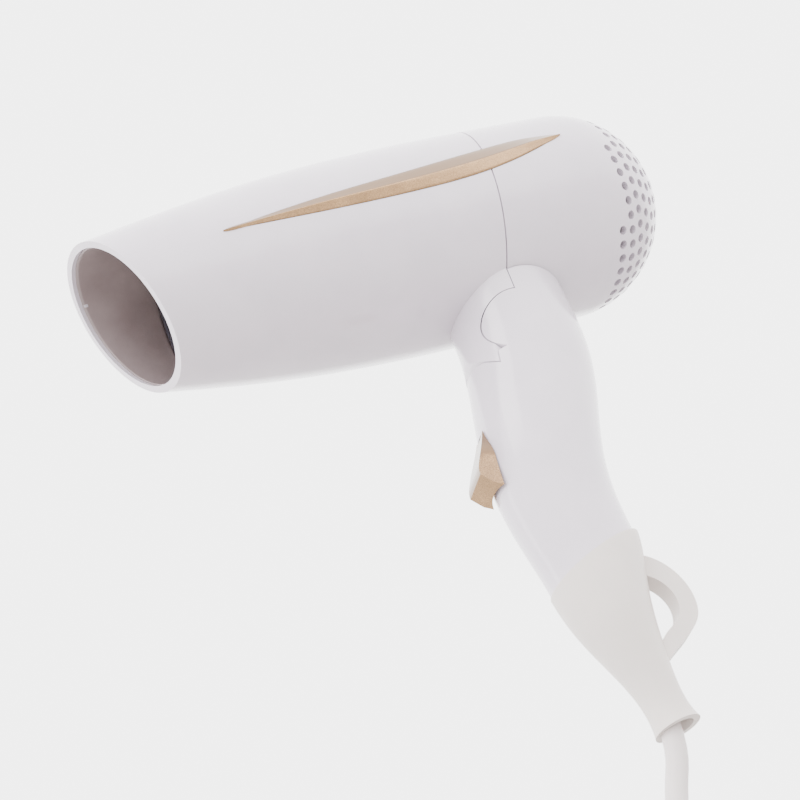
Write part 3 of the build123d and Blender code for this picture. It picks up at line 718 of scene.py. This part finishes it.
# ---------------------------------------------------------------- mains cord
@dataclass
class MainsCord:
    """Two-core flex: out of the boot, down into a tied coil, and on to its plug."""

    route: tuple[tuple[float, float, float], ...] = (
        (-0.0103, 0.0, -0.075),
        (-0.0103, 0.0, -0.098),
        (-0.0246, 0.0002, -0.118),
        (-0.0362, 0.0016, -0.150),
        (-0.0414, 0.0010, -0.1855),
        (-0.0422, 0.0, -0.2144),
    )
    turns: int = 7
    slots: int = 8                # places round the bundle, one of them empty
    points_a_turn: int = 16
    major: float = 0.036
    offset: float = 0.0085        # of each turn from the middle of the bundle
    middle_z: float = -0.2264
    tail_y: float = -0.009        # the plug's middle
    tail_drops: tuple[float, float] = (0.010, 0.024)      # of the tail's first points under the coil's end
    tail_shift: float = 0.001
    plug_top: float = -0.2664
    plug_grip: float = 0.004      # length of cord inside the plug

    @property
    def middle_x(self) -> float:
        """Middle of the coil, so that the route runs down into its outermost turn."""
        return self.route[-1][0] + self.major + self.offset

    def coil(self) -> np.ndarray:
        """Turns of the coil: a circle whose place in the bundle steps on by one slot a turn.

        Returns:
            An array of points, from nine o'clock down and round.
        """
        turn = np.linspace(0, self.turns, self.turns * self.points_a_turn + 1)
        place = 2 * np.pi * turn / self.slots
        round_ring = np.pi + 2 * np.pi * turn
        reach = self.major / np.cos(np.pi / self.points_a_turn) + self.offset * np.cos(place)
        x = self.middle_x + reach * np.cos(round_ring)
        z = self.middle_z + reach * np.sin(round_ring)
        return np.stack([x, self.offset * np.sin(place), z], axis=1)

    def points(self) -> np.ndarray:
        """Control points from inside the boot to inside the plug."""
        coil = self.coil()
        _, y, z = coil[-1]
        x = self.middle_x - self.major - self.offset * math.cos(math.pi / 4)
        tail = [(x, y - self.tail_shift, z - self.tail_drops[0]), (x, self.tail_y, z - self.tail_drops[1]),
                (x, self.tail_y, self.plug_top - self.plug_grip)]
        return np.concatenate([np.array(self.route), coil, np.array(tail)])

    def build(self, sheath: bpy.types.Material) -> bpy.types.Object:
        """Make the cord as one smooth curve.

        Args:
            sheath: material of the cord.

        Returns:
            The curve object.
        """
        points = self.points()
        data = bpy.data.curves.new("mains_cord", "CURVE")
        data.dimensions = "3D"
        spline = data.splines.new("NURBS")
        spline.points.add(len(points) - 1)
        spline.points.foreach_set("co", np.column_stack([points, np.ones(len(points))]).ravel())
        spline.order_u = 3
        spline.use_endpoint_u = True
        spline.resolution_u = 8
        data.bevel_depth = CORD_D / 2
        data.bevel_resolution = 5
        data.use_fill_caps = True
        data.materials.append(sheath)
        cord = bpy.data.objects.new("mains_cord", data)
        bpy.context.scene.collection.objects.link(cord)
        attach(cord, Body.HANDLE.value)
        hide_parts("cord", "cord_coil", "cord_tail")
        log.info("mains cord of %d points", len(points))
        return cord


# ---------------------------------------------------------------- room, light and camera
def direction(azimuth: float, elevation: float) -> Vector:
    """Unit vector away from the target, in degrees from the near side and from the level."""
    a, e = math.radians(azimuth), math.radians(elevation)
    return Vector((math.sin(a) * math.cos(e), -math.cos(a) * math.cos(e), math.sin(e)))


@dataclass(frozen=True)
class AreaLight:
    """Soft rectangular light that faces the object."""

    name: str
    azimuth: float
    elevation: float
    distance: float
    width: float
    height: float
    watts: float
    colour: str = "#FFFFFF"

    def build(self, target: Vector) -> None:
        """Place the light round the target."""
        back = direction(self.azimuth, self.elevation)
        data = bpy.data.lights.new(self.name, "AREA")
        data.shape = "RECTANGLE"
        data.size, data.size_y = self.width, self.height
        data.energy = self.watts
        data.color = linear(self.colour)[:3]
        light = bpy.data.objects.new(self.name, data)
        light.location = target + back * self.distance
        light.rotation_euler = (-back).to_track_quat("-Z", "Y").to_euler()
        bpy.context.scene.collection.objects.link(light)


@dataclass(frozen=True)
class Studio:
    """Pale floor, soft lights and the camera, which looks up at the dryer from the front."""

    target: tuple[float, float, float] = (-0.03483, 0.0, 0.0324)
    azimuth: float = -28.44
    elevation: float = -30.35
    roll: float = -29.86
    distance: float = 0.55545
    lens: float = 81.05
    sensor: float = 36.0
    clip: tuple[float, float] = (0.01, 50.0)
    floor_size: float = 12.0
    floor_drop: float = 0.02      # from the lowest part to the floor
    sky: tuple[tuple[float, str], ...] = ((0.0, "#DEDDDB"), (0.12, "#FFFFFF"))     # from the horizon up
    sky_strength: float = 5.0
    lights: tuple[AreaLight, ...] = field(default=(
        AreaLight("key", -40.0, 50.0, 1.5, 0.7, 0.7, 9.0, "#FFFCF8"),
        AreaLight("left_strip", -110.0, 5.0, 1.4, 0.3, 1.4, 5.0, "#F8FAFF"),
    ))

    def camera(self) -> None:
        """Make the camera: back is its direction from the target, and roll turns it about that line."""
        back = direction(self.azimuth, self.elevation)
        level = Vector((0, 0, 1)).cross(back).normalized()
        right = Matrix.Rotation(math.radians(self.roll), 3, back) @ level
        up = back.cross(right)
        turn = Matrix((right, up, back)).transposed().to_4x4()
        data = bpy.data.cameras.new("camera")
        data.lens, data.sensor_width = self.lens, self.sensor
        data.clip_start, data.clip_end = self.clip
        camera = bpy.data.objects.new("camera", data)
        camera.matrix_world = Matrix.Translation(Vector(self.target) + back * self.distance) @ turn
        bpy.context.scene.collection.objects.link(camera)
        bpy.context.scene.camera = camera

    def floor(self) -> None:
        """Lay a plain pale floor under everything."""
        half, level = self.floor_size / 2, CAD_BOX[0].z - self.floor_drop
        data = bpy.data.meshes.new("floor")
        corners = [(-half, -half, level), (half, -half, level), (half, half, level), (-half, half, level)]
        data.from_pydata(corners, [], [(0, 1, 2, 3)])
        floor = bpy.data.objects.new("floor", data)
        paint = Moulded("floor_paint", "#A9A7A4", "#A5A3A0", 0.7, 0.03, cloud=0.4, grain=0.02, depth=0.0)
        data.materials.append(paint.build())
        bpy.context.scene.collection.objects.link(floor)

    def build(self) -> None:
        """Make the camera, floor, world and lights."""
        self.camera()
        self.floor()
        world = bpy.data.worlds.new("studio")
        world.use_nodes = True
        tree = world.node_tree
        back = tree.nodes["Background"]
        tree.links.new(ramp(tree, upwardness(tree, "Generated"), self.sky), back.inputs["Color"])
        back.inputs["Strength"].default_value = self.sky_strength
        bpy.context.scene.world = world
        for light in self.lights:
            light.build(Vector(self.target))
        log.info("studio with %d lights", len(self.lights))


def main() -> None:
    """Build the studio, dress the frame and make the pieces."""
    logging.basicConfig(level=logging.INFO)
    Studio().build()
    finishes = dress_nodes()
    TrimStrip().build(-1, finishes[GOLD.name], "trim_near", "trim_strip_left")
    TrimStrip().build(1, finishes[GOLD.name], "trim_far", "trim_strip_right")
    BarrelDetails().build(finishes)
    MainsCord().build(finishes[CORD_SHEATH.name])


if __name__ == "__main__":
    main()
